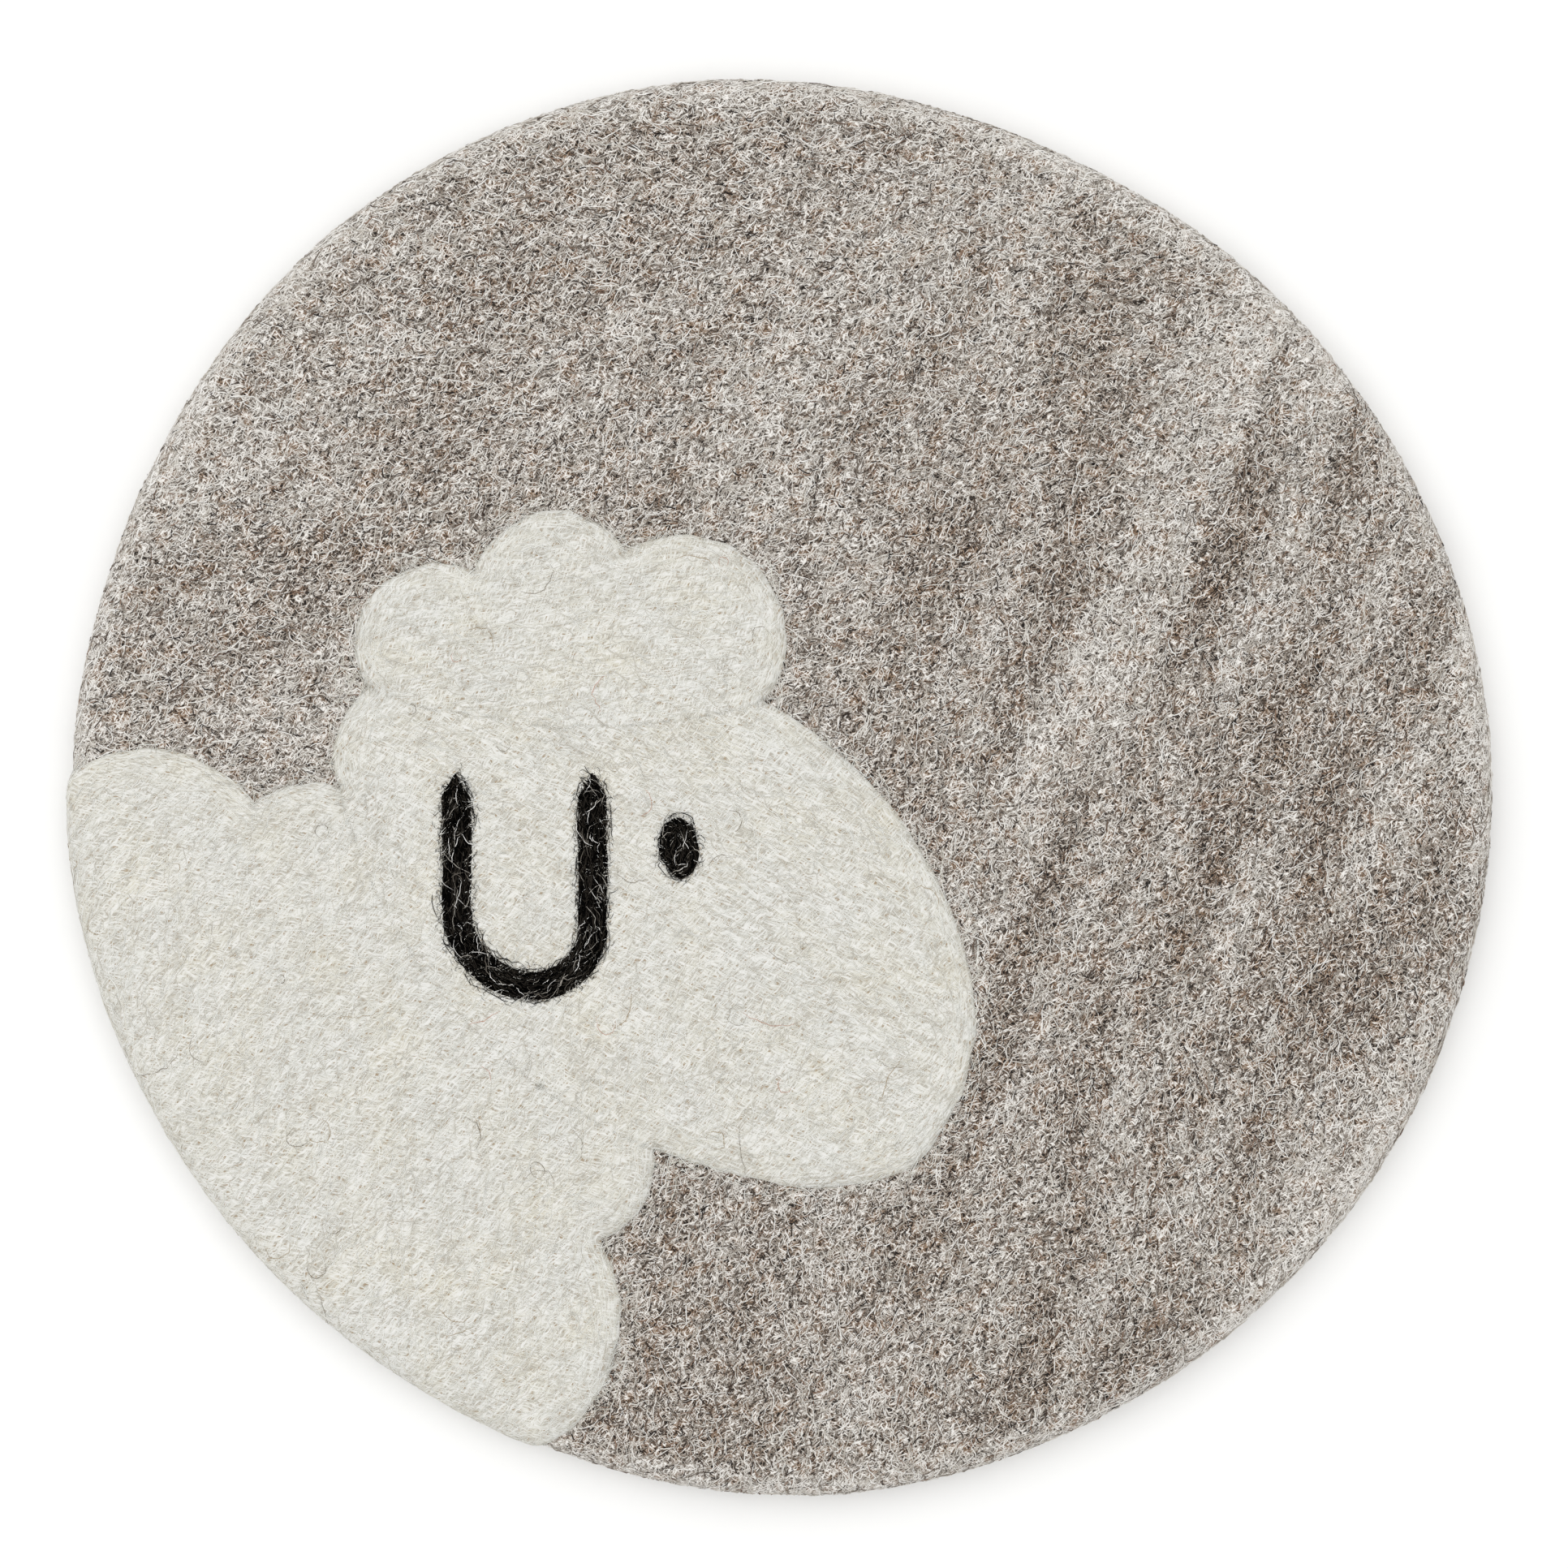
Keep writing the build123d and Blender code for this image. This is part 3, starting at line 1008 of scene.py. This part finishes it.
class TRIVET_OT_white_fibres(bpy.types.Operator):
    """Scatter the sheep's fibres over its white wool, thicker along its edge"""

    bl_idname = "trivet.white_fibres"
    bl_label = "White Fibres"

    def execute(self, context):
        white = context.scene.felt_trivet.white

        def cover(u, v):
            depth = read_map(WHITE_DEPTH, u, v)
            edge = 1 + 1.2 * bell(depth, 1.5 * MM)
            clear = np.clip(-read_map(BLACK_DEPTH, u, v) / (0.5 * MM) + 0.3, 0.08, 1)
            return np.clip(depth / (0.4 * MM) + 0.8, 0, 1) * edge * clear * (np.hypot(u, v) < SIDE_END)

        lots = {"milk": ("ebebe6", "e4e4de", "dcdbd5"), "ivory": ("e1dfd5", "d8d5cb", "cdc9bf")}
        for seed, (name, codes) in enumerate(lots.items()):
            grow(
                f"white_fibres_{name}", cover, grain_of(GRAIN), on_top, "white_wool",
                density=4300 / WHITE_AREA, points=7, length=white.fibre_length, length_spread=0.45,
                thickness=white.fibre_thickness, curl=2.5, wander=3.0, heading_spread=0.6,
                depth=0.05 * MM, lift=0.12 * MM, seed=seed + 23, **fibre_set(f"{name} wool", codes),
            )
        grow(
            "stray_fibres", lambda u, v: (read_map(WHITE_DEPTH, u, v) > 2 * MM) * 1.0, grain_of(GRAIN),
            on_top, "white_wool",
            density=70 / WHITE_AREA, points=12, length=6 * MM, length_spread=0.5, thickness=0.09 * MM,
            curl=6.0, wander=1.5, heading_spread=1.5, depth=0.0, lift=0.1 * MM, seed=29,
            **fibre_set("stray fibre", ("c79a85", "ac9878", "857a6b")),
        )
        return {"FINISHED"}


class TRIVET_OT_black_fibres(bpy.types.Operator):
    """Scatter black fibres along the ear's strand and the eye's tuft, and a few pale ones over them"""

    bl_idname = "trivet.black_fibres"
    bl_label = "Black Fibres"

    def execute(self, context):
        black = context.scene.felt_trivet.black
        strand = grain_of(BLACK_GRAIN)

        def within(u, v):
            return np.clip(read_map(BLACK_DEPTH, u, v) / (0.6 * MM) - 0.5, 0, 1)

        def at_edge(u, v):
            return np.exp(-((read_map(BLACK_DEPTH, u, v) / (0.4 * MM) - 0.7) ** 2))

        # The pale shade of the black fibres and of the fuzz is painted glint: lighter fibres stand in for
        # light caught along the strand.
        grow(
            "black_fibres", within, strand, on_top, "black_wool",
            density=9.0e6, points=6, length=black.fibre_length, length_spread=0.5,
            thickness=black.fibre_thickness, curl=1.2, wander=1.6, heading_spread=0.3,
            depth=0.05 * MM, lift=0.35 * MM, seed=41,
            **fibre_set("black wool", ("302c27", "080706", "020202"), 0.02),
        )
        grow(
            "black_fuzz", at_edge, strand, on_top, "black_wool",
            density=13.0e6, points=4, length=0.3 * black.fibre_length, length_spread=0.6,
            thickness=0.6 * black.fibre_thickness, curl=2.5, wander=2.5, heading_spread=1.3,
            depth=0.0, lift=0.25 * MM, seed=53,
            **fibre_set("black fuzz wool", ("3e3931", "141210", "080706"), 0.05),
        )
        # Pale fibres over black: partly stray white fibres, partly painted glints on the black strand.
        grow(
            "pale_fibres_over_black", within, strand, on_top, "white_wool",
            density=0.6e6, points=8, length=black.fibre_length, length_spread=0.7,
            thickness=black.fibre_thickness, curl=2.2, wander=1.6, heading_spread=0.9,
            depth=-0.08 * MM, lift=0.3 * MM, seed=47,
            **fibre_set("fibre over black", ("e8e6e2", "a09b92", "625c53")),
        )
        return {"FINISHED"}


class TRIVET_OT_under_fibres(bpy.types.Operator):
    """Scatter fibres over the plain underside"""

    bl_idname = "trivet.under_fibres"
    bl_label = "Underside Fibres"

    def execute(self, context):
        grey = context.scene.felt_trivet.grey
        lots = {"pale": ("ddd8ce", "c9c3b8", "b4ada1"), "dark": ("857868", "655c52", "4a443e")}
        for seed, (name, codes) in enumerate(lots.items()):

            def grain(u, v, seed=seed):
                return doubled(math.radians(60) + 1.1 * clouds(u, v, 25 * MM, 141 + seed, 2))

            grow(
                f"under_fibres_{name}", lambda u, v: (np.hypot(u, v) < LOW_FLAT) * 1.0, grain, on_under,
                "grey_wool", half=PAD_RADIUS,
                density=4000 / UNDER_AREA, points=5, length=grey.fibre_length, length_spread=0.45,
                thickness=grey.fibre_thickness, curl=grey.curl, wander=4.5, heading_spread=1.4,
                depth=0.1 * MM, lift=0.3 * MM, seed=seed + 61,
                **fibre_set(f"underside {name} wool", codes),
            )
        return {"FINISHED"}


TABLE_WIDTH = 8.0
LAMP_WIDTH = 1.3
LAMP_PLACE = (-0.14, 0.2, 1.1)
VIEW_SHIFT = 0.42 * MM  # how far along Y the camera stands from the pad's middle


class TRIVET_OT_stage(bpy.types.Operator):
    """Make the plain table, the light and the camera"""

    bl_idname = "trivet.stage"
    bl_label = "Table, Light and Camera"

    def execute(self, context):
        stage = context.scene.felt_trivet.stage
        scene = context.scene
        scene.view_settings.view_transform = "Standard"
        floor_material, tree, end = new_material("matt white table")
        inputs = {"Base Color": stage.floor, "Roughness": 0.8, "Specular IOR Level": 0.2}
        paint = add_node(tree, "ShaderNodeBsdfPrincipled", inputs)
        tree.links.new(paint.outputs[0], end.inputs["Surface"])
        mesh = bpy.data.meshes.new("table")
        half = TABLE_WIDTH / 2
        corners = [(-half, -half, 0), (half, -half, 0), (half, half, 0), (-half, half, 0)]
        mesh.from_pydata(corners, [], [(0, 1, 2, 3)])
        mesh.materials.append(floor_material)
        add_to_scene("table", mesh)

        world = bpy.data.worlds.new("pale room")
        world.use_nodes = True
        sky = world.node_tree.nodes["Background"].inputs
        sky["Color"].default_value = (1, 1, 1, 1)
        sky["Strength"].default_value = stage.sky
        scene.world = world

        lamp = bpy.data.lights.new("soft box", "AREA")
        lamp.shape = "SQUARE"
        lamp.size = LAMP_WIDTH
        lamp.energy = stage.main_light
        box = add_to_scene("soft box", lamp)
        box.location = LAMP_PLACE
        box.rotation_euler = box.location.to_track_quat("Z", "Y").to_euler()

        camera = bpy.data.cameras.new("camera")
        camera.lens = stage.lens
        camera.sensor_width = 36
        camera.clip_start = 0.01
        above = add_to_scene("camera", camera)
        distance = stage.view_width * stage.lens / camera.sensor_width
        above.location = (0, VIEW_SHIFT, PAD_TOP + distance)
        scene.camera = above
        return {"FINISHED"}


class TRIVET_PT_sidebar(bpy.types.Panel):
    """Lists what makes the trivet"""

    bl_idname = "TRIVET_PT_sidebar"
    bl_label = "Felt Trivet"
    bl_space_type = "VIEW_3D"
    bl_region_type = "UI"
    bl_category = "Felt Trivet"

    def draw(self, context):
        for operator in OPERATORS:
            self.layout.operator(operator.bl_idname)


SETTINGS = (GreyFeltSettings, WhiteFeltSettings, BlackWoolSettings, StageSettings, FeltTrivetSettings)
OPERATORS = (
    TRIVET_OT_stage,
    TRIVET_OT_grey_pad,
    TRIVET_OT_white_sheep,
    TRIVET_OT_black_wool,
    TRIVET_OT_grey_fibres,
    TRIVET_OT_white_fibres,
    TRIVET_OT_black_fibres,
    TRIVET_OT_under_fibres,
)


def register():
    for part in SETTINGS + OPERATORS + (TRIVET_PT_sidebar,):
        bpy.utils.register_class(part)
    bpy.types.Scene.felt_trivet = bpy.props.PointerProperty(type=FeltTrivetSettings)


def unregister():
    del bpy.types.Scene.felt_trivet
    for part in reversed(SETTINGS + OPERATORS + (TRIVET_PT_sidebar,)):
        bpy.utils.unregister_class(part)


def main():
    """Builds everything."""
    register()
    for operator in OPERATORS:
        group, name = operator.bl_idname.split(".")
        getattr(getattr(bpy.ops, group), name)()


if __name__ == "__main__":
    main()
